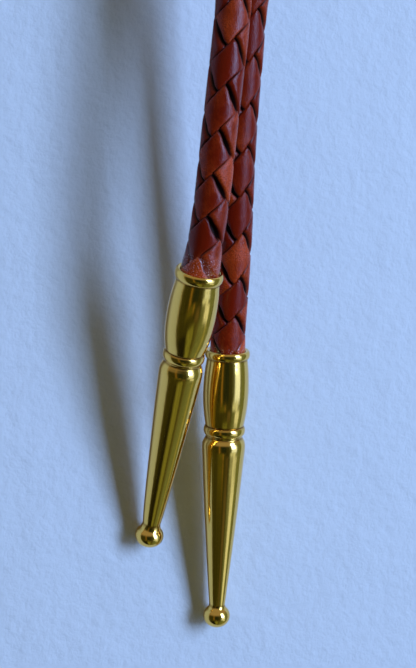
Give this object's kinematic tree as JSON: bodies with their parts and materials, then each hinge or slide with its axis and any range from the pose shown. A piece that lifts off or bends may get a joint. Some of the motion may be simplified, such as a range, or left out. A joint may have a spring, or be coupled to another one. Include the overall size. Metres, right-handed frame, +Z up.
{
  "type": "bolo tie",
  "caption": "Bolo tie: a round-braided leather cord hung as a neck loop, an oval slide that gathers it, and turned gold-coloured tips on its hanging ends.",
  "frame": {"origin": "top of the neck loop's inner side, where the tie rests on the neck or a peg (the mount neck_rest)", "axes": "+Z up, along the tie's length from its tips to the top of its loop; the front of the slide faces -Y; +X to the right as seen from the front"},
  "size_m": [0.1528, 0.0182, 0.4356],
  "materials": {
    "leather": "reddish-brown waxed leather laces in a four-strand round braid, semi-gloss, darker in the crevices",
    "gold": "polished gold-coloured brass plate with fine scratches"
  },
  "bodies": {
    "root": {"neck_loop": "leather", "left_tail": "leather", "right_tail": "leather", "left_tip": "gold", "right_tip": "gold", "slide": "gold"}
  },
  "joints": []
}
